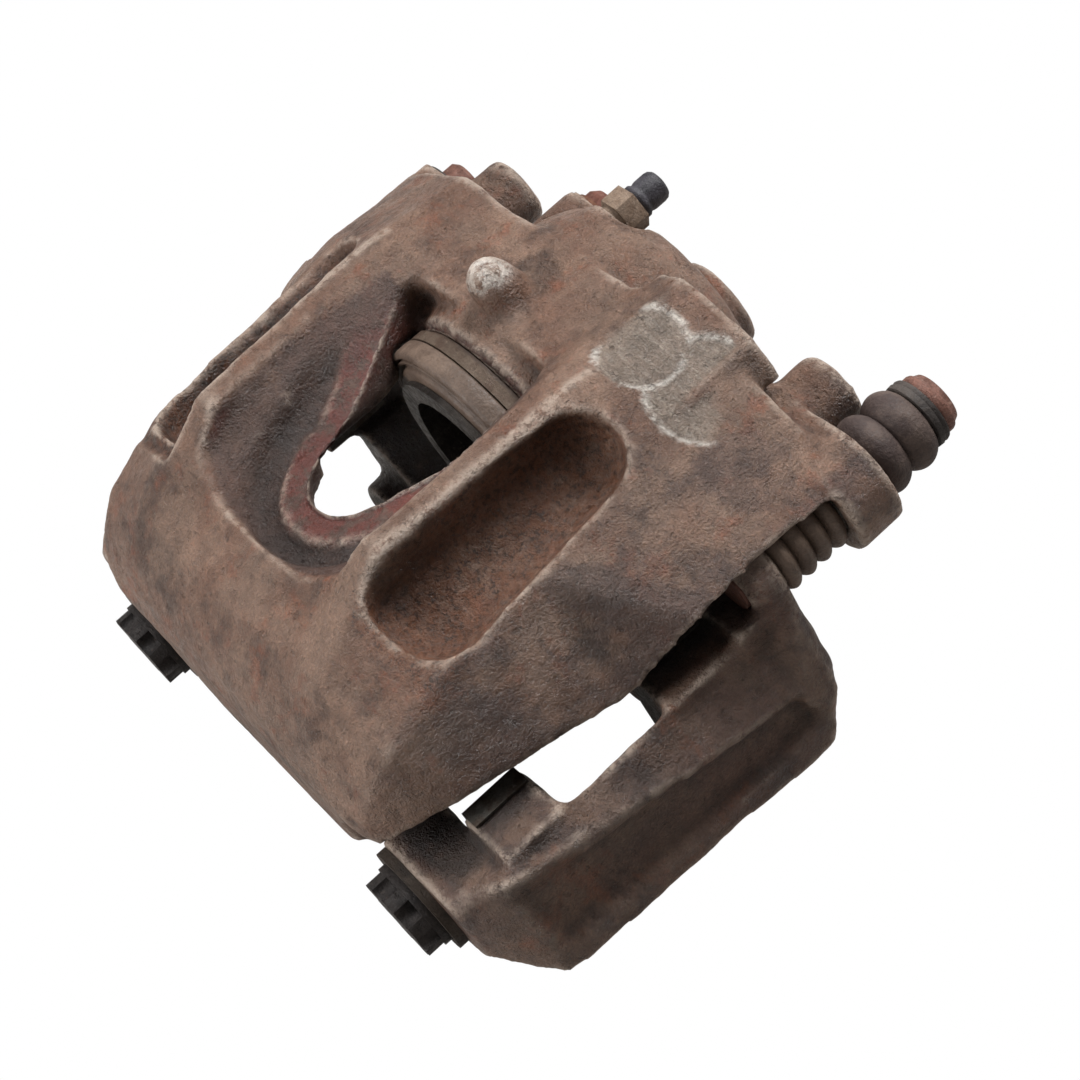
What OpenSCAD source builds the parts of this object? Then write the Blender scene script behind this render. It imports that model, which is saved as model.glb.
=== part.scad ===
// Floating brake caliper with one piston, its carrier and its guide pins.
// X runs along the disc's edge, +Y points inboard along the piston's axis and
// +Z points outwards from the wheel's centre. The origin lies on the piston's
// axis, in the middle of the disc's thickness. All sizes are in millimetres.

/* [Piston and bore] */
// Diameter of the piston
piston_d = 60; // [48:1:66]
// Length of the piston
piston_len = 52; // [48:1:54]
// Wall of the hollow piston
piston_wall = 6; // [4:0.5:8]
// How far the piston stands out of the cylinder at rest
piston_out = 13.5; // [11:0.5:14]
// Depth of the bore
bore_depth = 44; // [43:1:48]
// Wall of the cylinder
cylinder_wall = 9; // [8:0.5:11]
// Thickness of the cylinder's closed end
cylinder_end = 13; // [12:0.5:16]

/* [Disc space] */
// Radius of the largest disc
disc_r = 117; // [112:1:120]
// Distance from the piston's axis down to the disc's centre
disc_drop = 97; // [96:0.5:102]
// Gap between the carrier's outboard and inboard abutments
slot_w = 32; // [28:1:36]
// Inner face of the fingers, outboard of the disc's middle
finger_y = 30; // [28:1:34]
// Front face of the cylinder, inboard of the disc's middle
cylinder_y = 45; // [44:1:54]

/* [Housing] */
// Thickness of the fingers along the piston's axis
finger_t = 23.5; // [20:0.5:26]
// Half width of the fingers at their tips
finger_half_w = 44; // [38:1:45]
// Lowest point of the fingers below the piston's axis
finger_drop = 36; // [30:1:38]
// Height of the two ribs above the piston's axis
rib_top = 45; // [43:0.5:54]
// Half width of the valley between the ribs, at the top
valley_half_w = 38; // [34:1:39]
// Half width of the window through the bridge
window_half_w = 18; // [14:1:19]
// Half width across the tops of the ribs
rib_half_w = 46; // [43:1:50]
// Half width across the outer rims of the scoops
rim_half_w = 69.5; // [66:0.5:74]
// Height of the outer rims
rim_top = 31; // [30:0.5:34]
// Radius of the scoop in each flank
scoop_r = 12; // [9:0.5:12.5]

/* [Guide pins] */
// Distance between the two guide pins
pin_span = 177; // [172:1:212]
// Height of the pins above the piston's axis
pin_z = 5.5; // [4:0.5:6]
// Diameter of a guide pin
pin_d = 13; // [10:0.5:15]
// Diameter of the steel bush that slides on the pin
bush_d = 17; // [16:0.5:18]
// Length of the ear that carries the bush
ear_len = 13; // [10.5:0.5:16]
// Radius of the ear
ear_r = 14.5; // [13.5:0.5:16]
// Radius of the boots' largest fold
boot_r = 10.8; // [10:0.1:11.2]

/* [Carrier] */
// Distance between the two outboard end bolts
end_bolt_span = 133; // [128:1:138]
// End bolts below the piston's axis
end_bolt_drop = 27; // [25:0.5:29]
// Outer radius of a fluted bolt head
bolt_head_r = 11.3; // [10:0.1:12]
// Thread diameter of the end bolts
end_bolt_d = 12; // [10:0.5:14]
// Radius of the carrier's boss round each end bolt
end_boss_r = 16; // [14:0.5:16.5]

/* [Mounting] */
// Distance between the two mounting holes
mount_span = 140; // [130:1:146]
// Mounting holes below the piston's axis
mount_drop = 56; // [54:0.5:60]
// Diameter of the threaded mounting holes, at the thread's crest
mount_thread_d = 12.4; // [10.5:0.1:14.5]
// Thickness of the mounting lugs
lug_len = 24; // [18:1:27]

/* [Hidden] */
$fn = 64;

cast_brown = "#6b5c50";
cast_grey = "#7a6d61";
boot_grey = "#4f4740";
rust_red = "#8a5548";

eps = 0.01;
run_gap = 0.04;      // radial clearance of a sliding fit
free_gap = 1;        // clearance between parts that only pass each other
hull_fn = 32;

// Piston, bore and seal
piston_r = piston_d / 2;
bore_r = piston_r + run_gap;
cyl_r = piston_r + cylinder_wall;
bore_end_y = cylinder_y + bore_depth;
cyl_back_y = bore_end_y + cylinder_end;
piston_y = cylinder_y - piston_out;
groove_at = 1.6;     // groove for the dust boot, behind the piston's rim
groove_w = 2.8;
groove_t = 1.4;
seal_w = 3.2;
seal_t = 3.4;
seal_y = cylinder_y + 9;
neck_len = 8;        // collar on the cylinder's front that carries the dust boot
neck_r = piston_r + 3.6;
boot_ring_r = neck_r + 2.8;

// Disc space
slot_half = slot_w / 2;
arch_r = disc_r + 3;
finger_front = -(finger_y + finger_t);

// Guide pins
pin_x = pin_span / 2;
boss_face_y = cylinder_y + 10;
ear_y = boss_face_y + 19;
ear_back = ear_y + ear_len;
outer_boot_len = 17;
collar_y = ear_back + outer_boot_len;
collar_len = 4;
pin_head_y = collar_y + collar_len - 0.5;
pin_head_h = 4.5;
pin_boss_r = 10.5;
boss_nose_r = 8;
pin_root_y = boss_face_y - 10;
left_pin_out = 8;
wing_x = pin_x + 9.5;
wing_z = pin_z + 10;
wing_back = ear_y + 7;
relief_r = boot_r + 0.7;
left_cut = pin_x + 19.5;

// Carrier
arm_x = pin_x + 18;
end_x = end_bolt_span / 2;
end_face = finger_front + 3.5;
end_boss_len = 17;
washer_t = 2.6;
bolt_flange_t = 2;
bolt_head_h = 4.6;
carrier_y = slot_half + 27;
web_top = -(cyl_r + 4);
web_drop = 21;
mount_x = mount_span / 2;
lug_r = 13;
lug_face = slot_half + 3 + lug_len;
clip_t = 0.8;
abut_x = pin_x - 12;
abut_top = -5;
abut_low = -27;

// Ports
bleed_x = -5;
bleed_z = piston_r;
bleed_thread_r = 5;
bleed_seat_y = bore_end_y + 1;
bleed_boss_y = cyl_back_y - 6;
port_x = -28;
port_z = piston_r - 14;
port_thread_r = 4.5;
port_face_y = cyl_back_y - 2;
port_depth = 9;

// A closed ring of points in the plane y, mirrored from its half with x >= 0
function ring(y, half) = concat(
  [for (p = half) [p[0], y, p[1]]],
  [for (i = [len(half) - 1:-1:0]) [-half[i][0], y, half[i][1]]]);

// A ring that isn't symmetrical, clockwise as seen from -Y
function section(y, outline) = [for (p = outline) [p[0], y, p[1]]];

// Closed solid through rings that have the same number of points
module loft(rings) {
  n = len(rings[0]);
  last = len(rings) - 1;
  sides = [for (k = [0:last - 1], i = [0:n - 1])
    let (a = k * n + i, b = k * n + (i + 1) % n)
    each [[a, a + n, b + n], [a, b + n, b]]];
  caps = [[for (i = [0:n - 1]) i], [for (i = [n - 1:-1:0]) last * n + i]];
  polyhedron([for (r = rings) each r], concat(sides, caps));
}

// Round bar along +Y from y0 to y1
module bar(r, y0, y1, x = 0, z = 0) {
  translate([x, y0, z]) rotate([-90, 0, 0]) cylinder(r = r, h = y1 - y0);
}

// Turned shape about an axis along Y: points are [radius, y]
module turned(points, x = 0, z = 0) {
  translate([x, 0, z]) rotate([-90, 0, 0]) rotate_extrude() polygon(points);
}

// Plate with an outline in X and Z, from y0 to y1
module plate(outline, y0, y1) {
  translate([0, y1, 0]) rotate([90, 0, 0]) linear_extrude(y1 - y0) polygon(outline);
}

module both_sides() {
  children();
  mirror([1, 0, 0]) children();
}

// Turns its children about the Y axis and puts them at x and z
module rotate_about(x, z, angle) {
  translate([x, 0, z]) rotate([0, angle, 0]) children();
}

// ---------------------------------------------------------------- housing

// One half ring of the bridge: heights of the middle, the rib, the rim, and the lower edge
function bridge_half(mid_z, rib_x, rib_z, rim_x, rim_z, low_x, low_z) = [
  [0.6 * rib_x, mid_z], [0.82 * rib_x, rib_z - 0.4], [rib_x, rib_z], [rim_x, rim_z],
  [low_x, low_z], [low_x - 10, low_z - 4], [20, -4]];

module bridge() {
  rt = rib_top;
  rx = rib_half_w;
  mx = rim_half_w;
  mz = rim_top;
  deck = cyl_r + 0.3;
  loft([
    ring(finger_front + 0.4, bridge_half(2, rx - 4, 2, mx - 11, 0, mx - 9, -3)),
    ring(finger_front + 2, bridge_half(9, rx - 1, 9, mx - 4.5, 5, mx - 2, -3)),
    ring(finger_front + 7, bridge_half(17, rx, 17.5, mx - 1.5, 13, mx + 3, 0)),
    ring(finger_front + 15, bridge_half(25, rx, 26, mx, mz - 11, mx + 7.5, 2)),
    ring(finger_front + 27, bridge_half(31, rx, 34, mx, mz - 5.5, mx + 12, 3)),
    ring(finger_front + 45, bridge_half(rt - 0.4, rx, rt, mx, mz, mx + 16, 3)),
    ring(slot_half - 2, bridge_half(rt - 0.4, rx, rt, mx, mz, mx + 20.5, 2)),
    ring(cylinder_y - 11, bridge_half(rt - 0.4, rx, rt, mx + 1.5, mz, wing_x - 1.5, wing_z - 3)),
    ring(cylinder_y + 5, bridge_half(deck, rx, rt, mx + 4, mz + 1, wing_x, wing_z)),
    ring(cylinder_y + 13, bridge_half(deck, rx - 1, rt - 1, mx + 3.5, mz + 0.5, wing_x, wing_z)),
    ring(wing_back, bridge_half(deck, rx - 2, rt - 3, mx + 2, mz - 1, wing_x, wing_z - 1))]);
}

// Block under the machined pad on the right wing
module pad_block() {
  plate([[30, rib_top - 6], [42, rib_top - 0.8], [64, rib_top - 9.5], [69, rib_top - 20], [34, 8]],
    cylinder_y + 14, wing_back + 7);
}

module fingers() {
  tip = finger_half_w;
  low = -finger_drop;
  outline = [[-64, 3], [64, 3], [59, -6], [49, -11.5], [tip, -20], [tip - 1, low + 7],
    [tip - 8, low], [8 - tip, low], [1 - tip, low + 7], [-tip, -20], [-49, -11.5], [-59, -6]];
  plate(outline, finger_front + 3.5, -finger_y);
  plate([for (p = outline) p * 0.93], finger_front, finger_front + 4);
}

// Tapered cut between the ribs, with a rounded outboard end that runs down the front
module valley() {
  floor_z = rib_top - 15.5;
  end_y = finger_front + 45;
  hull() both_sides() {
    translate([valley_half_w - 9, end_y + 9, rib_top]) cylinder(r = 9, h = 1, $fn = hull_fn);
    translate([valley_half_w - 20, end_y - 3, rib_top - 8]) cylinder(r = 16, h = 9, $fn = hull_fn);
    translate([window_half_w - 8, end_y, floor_z]) cylinder(r = 12, h = 1, $fn = hull_fn);
    translate([valley_half_w - 9, cylinder_y, rib_top]) cylinder(r = 9, h = 1, $fn = hull_fn);
    translate([window_half_w - 9, cylinder_y - 4, floor_z]) cylinder(r = 9, h = 1, $fn = hull_fn);
  }
}

// Window through the bridge, wider next to the cylinder
module window() {
  end_y = finger_front + 46;
  hull() {
    translate([-0.5, end_y + 14, 0]) cylinder(r = 14, h = rib_top + 9, $fn = hull_fn);
    both_sides() {
      translate([window_half_w - 3.5, slot_half, 0]) cylinder(r = 3, h = rib_top + 9, $fn = hull_fn);
      translate([window_half_w + 8, cylinder_y + 3, 0]) cylinder(r = 4, h = rib_top + 9, $fn = hull_fn);
    }
  }
}

// Long pocket in the slope outside a rib, deeper and wider at its outboard end
module scoop() {
  x = (rib_half_w + rim_half_w) / 2 + 0.5;
  z = (rib_top + rim_top) / 2;
  hull() {
    translate([x, finger_front + 47, z - 3]) sphere(r = scoop_r + 1.5, $fn = hull_fn);
    translate([rib_half_w + 4, finger_front + 39.5, z - 6]) cylinder(r = 5.5, h = 16, $fn = hull_fn);
    translate([x - 0.7, cylinder_y - 6.5, z - 0.5]) sphere(r = scoop_r - 0.5, $fn = hull_fn);
  }
}

module ear() {
  bar(ear_r, ear_y, ear_back, pin_x, pin_z);
  plate([[cyl_r - 6, 20], [pin_x, pin_z + ear_r - 0.5], [pin_x, pin_z - ear_r + 0.5],
    [cyl_r - 6, -18]], ear_y, ear_back);
}

module cylinder_body() {
  turned([[0, cylinder_y], [cyl_r - 1.5, cylinder_y], [cyl_r, cylinder_y + 2],
    [cyl_r, cyl_back_y - 16], [cyl_r - 3.5, cyl_back_y - 8], [cyl_r - 10, cyl_back_y - 1.5],
    [cyl_r - 13, cyl_back_y], [0, cyl_back_y]]);
  bar(neck_r, cylinder_y - neck_len, cylinder_y + eps);
  turned([[0, cyl_back_y - 1], [13, cyl_back_y - 1], [13, cyl_back_y + 4.5],
    [11.8, cyl_back_y + 6], [0, cyl_back_y + 6]], 8, -2);
}

// Round cast bosses that face inboard
module back_bosses() {
  face_y = wing_back + 19;
  both_sides() turned([[0, wing_back - 3], [10, wing_back - 3], [10, face_y - 1.2],
    [8.8, face_y], [0, face_y]], pin_x - 21.3, 8.5);
}

// Rounded post on top of the cylinder
module post() {
  hull() {
    translate([0.5, cylinder_y + 16, cyl_r]) sphere(r = 7.2, $fn = hull_fn);
    translate([-1, cylinder_y + 14.5, cyl_r + 6.8]) sphere(r = 6, $fn = hull_fn);
  }
}

module housing() {
  color(cast_brown) difference() {
    union() {
      difference() {
        union() {
          bridge();
          fingers();
        }
        valley();
        window();
        both_sides() scoop();
      }
      pad_block();
      cylinder_body();
      back_bosses();
      both_sides() ear();
      post();
      turned([[0, wing_back - 4], [8.6, wing_back - 4], [7.5, bleed_boss_y - 3],
        [6, bleed_boss_y], [0, bleed_boss_y]], bleed_x, bleed_z);
      bar(9.5, wing_back + 3, port_face_y, port_x, port_z);
    }
    // room for the disc and pads
    translate([0, 0, -disc_drop])
      bar(arch_r, -finger_y, cylinder_y - neck_len - 1);
    difference() {
      union() {
        translate([0, 0, -disc_drop]) bar(arch_r, cylinder_y - neck_len - 2, cylinder_y);
        bar(boot_ring_r + 1.2 + free_gap, cylinder_y - neck_len - 3, cylinder_y);
      }
      bar(neck_r, cylinder_y - neck_len, cylinder_y + 1);
    }
    bar(piston_r + free_gap, cylinder_y - neck_len - 35, cylinder_y - neck_len - 2);
    // the left ear and wing are dressed off at the top
    plate([[-left_cut - 4, -4], [38 - left_cut, 38], [-left_cut - 4, 38]],
      cylinder_y, ear_back + 1);
    // room for the carrier's bosses and the inner boots, over the housing's travel
    both_sides() turned([[0, pin_root_y - 4.5], [boss_nose_r + free_gap, pin_root_y - 4.5],
      [relief_r, pin_root_y - 0.5], [relief_r, ear_y], [0, ear_y]], pin_x, pin_z);
    both_sides() bar(bush_d / 2, ear_y - 1, ear_back + 20, pin_x, pin_z);
    bar(bore_r, cylinder_y - neck_len - 4, bore_end_y);
    bar(piston_r + seal_t, seal_y, seal_y + seal_w);
    // bleed port, its spot face and its passage
    bar(8.5, bleed_boss_y, cyl_back_y + 8, bleed_x, bleed_z);
    bar(bleed_thread_r, bleed_seat_y, bleed_boss_y + 1, bleed_x, bleed_z);
    bar(1.6, bore_end_y - 1, bleed_seat_y + 1, bleed_x, bleed_z - 3);
    // hose port, its spot face and its passage
    bar(8, port_face_y, cyl_back_y + 8, port_x, port_z);
    bar(port_thread_r, port_face_y - port_depth, port_face_y + 1, port_x, port_z);
    bar(1.8, bore_end_y - 1, port_face_y - port_depth + 1, port_x + 3, port_z - 2);
  }
}

module guide_bush() {
  color("dimgray") difference() {
    bar(bush_d / 2, ear_y, ear_back, pin_x, pin_z);
    bar(pin_d / 2 + run_gap, ear_y - 1, ear_back + 1, pin_x, pin_z);
  }
}

module piston_seal() {
  color("black") difference() {
    bar(piston_r + seal_t, seal_y, seal_y + seal_w);
    bar(piston_r + run_gap, seal_y - 1, seal_y + seal_w + 1);
  }
}

// Folded rubber boot between the cylinder's neck and the piston's groove
module piston_dust_boot() {
  back = cylinder_y - 0.3;
  front = cylinder_y - neck_len - 0.3;
  lip = piston_y + groove_at + 0.2;
  color(boot_grey) turned([[neck_r + 0.02, back], [boot_ring_r, back], [boot_ring_r, front],
    [boot_ring_r - 1.3, front - 1.5], [neck_r - 0.8, front - 1.5], [piston_r + 2.6, lip],
    [piston_r - groove_t + 0.1, lip], [piston_r - groove_t + 0.1, lip + groove_w - 0.4],
    [piston_r + 1, lip + groove_w - 0.4], [neck_r - 2.2, front], [neck_r + 0.02, front]]);
}

module dust_boot_ring() {
  color("dimgray") difference() {
    bar(boot_ring_r + 1.2, cylinder_y - 4.5, cylinder_y - 1.5);
    bar(boot_ring_r, cylinder_y - 5, cylinder_y - 1);
  }
}

module piston() {
  back = piston_y + piston_len;
  color("silver") difference() {
    bar(piston_r, piston_y, back);
    bar(piston_r - piston_wall, piston_y - 1, back - 8);
    difference() {
      bar(piston_r + 1, piston_y + groove_at, piston_y + groove_at + groove_w);
      bar(piston_r - groove_t, piston_y, piston_y + 8);
    }
  }
}

module bleed_screw() {
  hex_y = bleed_boss_y + 1;
  color("tan") difference() {
    union() {
      turned([[0, bleed_seat_y + 0.2], [1.2, bleed_seat_y + 0.2], [4.6, bleed_seat_y + 3.5],
        [bleed_thread_r - run_gap, bleed_seat_y + 4], [bleed_thread_r - run_gap, hex_y],
        [0, hex_y]], bleed_x, bleed_z);
      translate([bleed_x, hex_y, bleed_z]) rotate([-90, 0, 0]) cylinder(r = 6.4, h = 6, $fn = 6);
      turned([[0, hex_y + 5], [3, hex_y + 5], [3, hex_y + 7.5], [2.4, hex_y + 8.5],
        [2.4, hex_y + 10], [3.1, hex_y + 10.8], [2.2, hex_y + 13.5], [0, hex_y + 13.5]],
        bleed_x, bleed_z);
    }
    bar(1, bleed_seat_y + 6, hex_y + 17, bleed_x, bleed_z);
  }
}

module bleed_cap() {
  base = bleed_boss_y + 7.5;
  color("#2c2b2d") turned([[3.2, base], [4.5, base], [4.7, base + 1.3], [4.1, base + 2.2],
    [4.4, base + 3], [4.4, base + 6.5], [3.4, base + 8.3], [0, base + 8.6], [0, base + 7.4],
    [3.2, base + 7.4]], bleed_x, bleed_z);
}

module plug_washer() {
  color("peru") difference() {
    bar(7, port_face_y, port_face_y + 1.5, port_x, port_z);
    bar(port_thread_r + 0.2, port_face_y - 1, port_face_y + 2, port_x, port_z);
  }
}

module hose_port_plug() {
  head_y = port_face_y + 1.5;
  color(rust_red) {
    bar(port_thread_r - run_gap, port_face_y - port_depth + 2, head_y + eps, port_x, port_z);
    turned([[0, head_y], [6, head_y], [6, head_y + 2.5], [4.6, head_y + 4.5], [0, head_y + 5]],
      port_x, port_z);
  }
}

// ------------------------------------------------------- guide pins, boots

module right_pin() {
  color(rust_red) {
    bar(pin_d / 2, pin_root_y, pin_head_y + eps, pin_x, pin_z);
    turned([[0, pin_head_y], [pin_d / 2 + 1.6, pin_head_y], [pin_d / 2 + 1.6, pin_head_y + 3],
      [pin_d / 2 + 0.2, pin_head_y + pin_head_h], [0, pin_head_y + pin_head_h]], pin_x, pin_z);
  }
}

// The left pin ends just behind its ear, with a socket for a hexagon key
module left_pin() {
  end_y = ear_back + left_pin_out;
  color(rust_red) difference() {
    turned([[0, pin_root_y], [pin_d / 2, pin_root_y], [pin_d / 2, end_y - 1.2],
      [pin_d / 2 - 1.2, end_y], [0, end_y]], -pin_x, pin_z);
    translate([-pin_x, end_y - 5, pin_z]) rotate([-90, 0, 0]) cylinder(r = 3.5, h = 6, $fn = 6);
  }
}

// Lip seal in the back of the left ear
module left_pin_lip_seal() {
  color(boot_grey) difference() {
    turned([[0, ear_back], [pin_d / 2 + 4, ear_back], [pin_d / 2 + 3.4, ear_back + 1.6],
      [pin_d / 2 + 1, ear_back + 2.4], [0, ear_back + 2.4]], -pin_x, pin_z);
    bar(pin_d / 2 + run_gap, ear_back - 1, ear_back + 3, -pin_x, pin_z);
  }
}

// Rubber boot with folds, from y0 to y1
module folded_boot(y0, y1, folds, big, waist, inner) {
  pitch = (y1 - y0) / folds;
  outer = [for (i = [0:folds - 1]) each [
    [waist, y0 + pitch * i], [big - 0.7, y0 + pitch * (i + 0.28)],
    [big, y0 + pitch * (i + 0.5)], [big - 0.7, y0 + pitch * (i + 0.72)]]];
  turned(concat([[inner, y0]], outer, [[waist, y1], [inner, y1]]), pin_x, pin_z);
}

module inner_pin_boot() {
  color(boot_grey)
    folded_boot(boss_face_y, ear_y, 3, boot_r, boot_r - 2.8, pin_d / 2 + 0.6);
}

module outer_pin_boot() {
  color(boot_grey)
    folded_boot(ear_back, collar_y, 2, boot_r, boot_r - 2.6, pin_d / 2 + 0.6);
}

module boot_collar() {
  color("#3d3936") difference() {
    bar(pin_d / 2 + 2.6, collar_y, pin_head_y, pin_x, pin_z);
    bar(pin_d / 2, collar_y - 1, pin_head_y + 1, pin_x, pin_z);
  }
}

// ---------------------------------------------------------------- carrier

module arm() {
  x = arm_x;
  loft([
    section(end_face, [[x - 20, -10], [x - 16, -11], [x - 16, -31], [x - 22, -36]]),
    section(end_face + 11.5, [[x - 14.5, -6], [x - 7, -4.5], [x - 0.5, -37], [x - 20, -37]]),
    section(-slot_half - 2, [[x - 12.5, -5], [x - 5, -8], [x, -39], [x - 22, -30]]),
    section(slot_half + 2, [[x - 12, -4], [x - 3, -16], [x, -40], [x - 22, -30]]),
    section(cylinder_y - 1, [[x - 12, -1], [x - 2, -23], [x, -42], [x - 22, -38]]),
    section(boss_face_y - 3, [[x - 12, 1], [x - 6, -2], [x - 2, -28], [x - 22, -34]])]);
}

// Shallow pocket in the arm's outer face
module arm_pocket() {
  depth = 2.5;
  translate([arm_x, 0, -39]) rotate([0, -9, 0]) translate([-depth, 0, 39])
    rotate([90, 0, 90]) linear_extrude(depth * 3)
      polygon([[end_face + 13, -9], [cylinder_y - 3, -22], [cylinder_y - 1, -31],
        [cylinder_y - 17, -33], [end_face + 15, -30]]);
}

// Boss round the end bolt and the hook that joins it to the arm
module end_hook() {
  back = end_face + end_boss_len;
  bar(end_boss_r, end_face, back, end_x, -end_bolt_drop);
  plate([[end_x, end_boss_r - end_bolt_drop - 0.3], [arm_x - 19, -9], [arm_x - 19, -36],
    [end_x, 0.3 - end_boss_r - end_bolt_drop]], end_face, back);
  plate([[end_x + 4, end_boss_r - end_bolt_drop], [arm_x - 14, -7], [arm_x - 14, -34],
    [end_x + 4, -34]], end_face + 4, back);
}

// Step that guides the ear of a brake pad
module abutment(y0, y1) {
  plate([[abut_x, abut_top], [arm_x - 10, abut_top + 2], [arm_x - 14, -36], [abut_x + 3, abut_low],
    [abut_x, abut_low]], y0, y1);
}

// Solid corner between the inboard abutment, the arm and the pin's boss
module arm_root() {
  plate([[abut_x + 4, abut_top], [pin_x - 6, 0], [arm_x - 9, 0], [arm_x - 9, abut_low],
    [abut_x + 4, abut_low]], cylinder_y - 7, boss_face_y - 5);
}

module pin_boss() {
  turned([[0, pin_root_y], [boss_nose_r, pin_root_y], [pin_boss_r, pin_root_y + 3.5],
    [pin_boss_r, boss_face_y], [0, boss_face_y]], pin_x, pin_z);
  plate([[pin_x - pin_boss_r + 0.4, pin_z], [pin_x + pin_boss_r - 0.4, pin_z], [arm_x - 5, -26],
    [pin_x - pin_boss_r + 2, -30]], pin_root_y + 3.5, boss_face_y);
}

// Beam below the cylinder, with the two mounting lugs
module inboard_web() {
  low = web_top - web_drop;
  front = slot_half + 3;
  web_front = slot_half + 10;
  plate([[-abut_x - 4, abut_low + 1], [-abut_x + 4, abut_low + 1], [-cyl_r - 12, web_top],
    [cyl_r + 12, web_top], [abut_x - 4, abut_low + 1], [abut_x + 4, abut_low + 1],
    [mount_x + 8, -mount_drop - 8], [mount_x - 16, low], [16 - mount_x, low],
    [-mount_x - 8, -mount_drop - 8]], web_front, lug_face);
  both_sides() bar(lug_r, front, lug_face, mount_x, -mount_drop);
}

// Bar that ties the two outboard ends together under the fingers
module outboard_rung() {
  top = -finger_drop - 1.5;
  plate([[-end_x, top], [end_x, top], [end_x, top - 6], [-end_x, top - 6]],
    end_face + 5, end_face + end_boss_len);
}

module carrier() {
  color(cast_grey) difference() {
    union() {
      both_sides() {
        difference() {
          arm();
          arm_pocket();
        }
        end_hook();
        abutment(-slot_half - 18, -slot_half);
        abutment(slot_half, boss_face_y - 6);
        arm_root();
        pin_boss();
      }
      inboard_web();
      outboard_rung();
    }
    // room for the disc
    translate([0, 0, -disc_drop]) bar(disc_r + 1.6, -slot_half, slot_half);
    both_sides() {
      bar(pin_d / 2, pin_root_y - 1, boss_face_y + 1, pin_x, pin_z);
      bar(end_bolt_d / 2, end_face - 1, end_face + end_boss_len + 1, end_x, -end_bolt_drop);
      bar(mount_thread_d / 2, slot_half, lug_face + 1, mount_x, -mount_drop);
    }
  }
}

// Thin steel clip folded over an abutment
module pad_clip(y0, y1) {
  color("#5c5a55") plate([[abut_x - clip_t, abut_top + clip_t], [abut_x + 6, abut_top + clip_t + 1],
    [abut_x + 6, abut_top + 1], [abut_x, abut_top], [abut_x, abut_low + 2],
    [abut_x - clip_t, abut_low + 2]], y0, y1);
}

module end_washer() {
  color("#4a4038") difference() {
    bar(end_boss_r - 1.2, end_face - washer_t, end_face, end_x, -end_bolt_drop);
    bar(end_bolt_d / 2 + 0.3, end_face - washer_t - 1, end_face + 1, end_x, -end_bolt_drop);
  }
}

// Flanged bolt whose head has eight lobes
module end_bolt() {
  seat = end_face - washer_t;
  lobes = 8;
  color("#3a3431") difference() {
    union() {
      bar(end_bolt_d / 2, seat - eps, end_face + end_boss_len - 1, end_x, -end_bolt_drop);
      bar(bolt_head_r + 0.6, seat - bolt_flange_t, seat, end_x, -end_bolt_drop);
      bar(bolt_head_r, seat - bolt_flange_t - bolt_head_h, seat, end_x, -end_bolt_drop);
    }
    for (i = [0:lobes - 1]) rotate_about(end_x, -end_bolt_drop, i * 360 / lobes)
      bar(2.7, seat - bolt_flange_t - bolt_head_h - 1, seat - bolt_flange_t,
        bolt_head_r + 0.6, 0);
  }
}

carrier();
left_pin();  // left_guide_pin
right_pin();  // right_guide_pin
mirror([1, 0, 0]) end_bolt();  // left_end_bolt
end_bolt();  // right_end_bolt
mirror([1, 0, 0]) end_washer();  // left_end_washer
end_washer();  // right_end_washer
mirror([1, 0, 0]) pad_clip(-slot_half - 17, -slot_half - 1);  // outboard_left_pad_clip
pad_clip(-slot_half - 17, -slot_half - 1);  // outboard_right_pad_clip
mirror([1, 0, 0]) pad_clip(slot_half + 1, slot_half + 21);  // inboard_left_pad_clip
pad_clip(slot_half + 1, slot_half + 21);  // inboard_right_pad_clip
mirror([1, 0, 0]) inner_pin_boot();  // left_inner_pin_boot
inner_pin_boot();  // right_inner_pin_boot
outer_pin_boot();  // right_outer_pin_boot
boot_collar();  // right_boot_collar
housing();
left_pin_lip_seal();
mirror([1, 0, 0]) guide_bush();  // left_guide_bush
guide_bush();  // right_guide_bush
piston_seal();
piston_dust_boot();
dust_boot_ring();
hose_port_plug();
plug_washer();
piston();
bleed_screw();
bleed_cap();
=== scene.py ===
# %% [markdown]
# # A worn floating brake caliper
#
# The CAD model already holds every part at its real size. This script gives
# the parts their surfaces: sand-cast iron with soft edges, folded rubber
# boots, dull steel, and years of rust and road dirt.

# %% Load the CAD model and keep its box
import math

import bmesh
import bpy
import numpy as np
from mathutils import Matrix, Vector, noise


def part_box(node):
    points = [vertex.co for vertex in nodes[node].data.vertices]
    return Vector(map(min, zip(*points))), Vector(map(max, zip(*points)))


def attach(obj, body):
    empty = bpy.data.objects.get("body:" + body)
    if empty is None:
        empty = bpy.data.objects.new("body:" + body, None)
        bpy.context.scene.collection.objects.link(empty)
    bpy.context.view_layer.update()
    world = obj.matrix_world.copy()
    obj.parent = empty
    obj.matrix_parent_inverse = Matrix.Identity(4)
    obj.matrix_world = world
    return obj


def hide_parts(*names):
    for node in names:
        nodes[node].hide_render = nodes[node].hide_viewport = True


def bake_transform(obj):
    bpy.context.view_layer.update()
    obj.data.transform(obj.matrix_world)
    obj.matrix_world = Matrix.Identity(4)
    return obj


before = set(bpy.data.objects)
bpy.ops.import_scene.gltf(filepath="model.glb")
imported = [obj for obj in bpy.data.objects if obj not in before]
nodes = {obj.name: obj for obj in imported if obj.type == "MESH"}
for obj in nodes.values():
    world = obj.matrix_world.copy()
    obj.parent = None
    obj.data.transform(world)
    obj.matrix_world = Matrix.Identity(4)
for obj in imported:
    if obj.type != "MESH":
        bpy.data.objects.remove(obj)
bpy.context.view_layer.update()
MM = 0.001
print("CAD nodes:", len(nodes))

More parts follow.
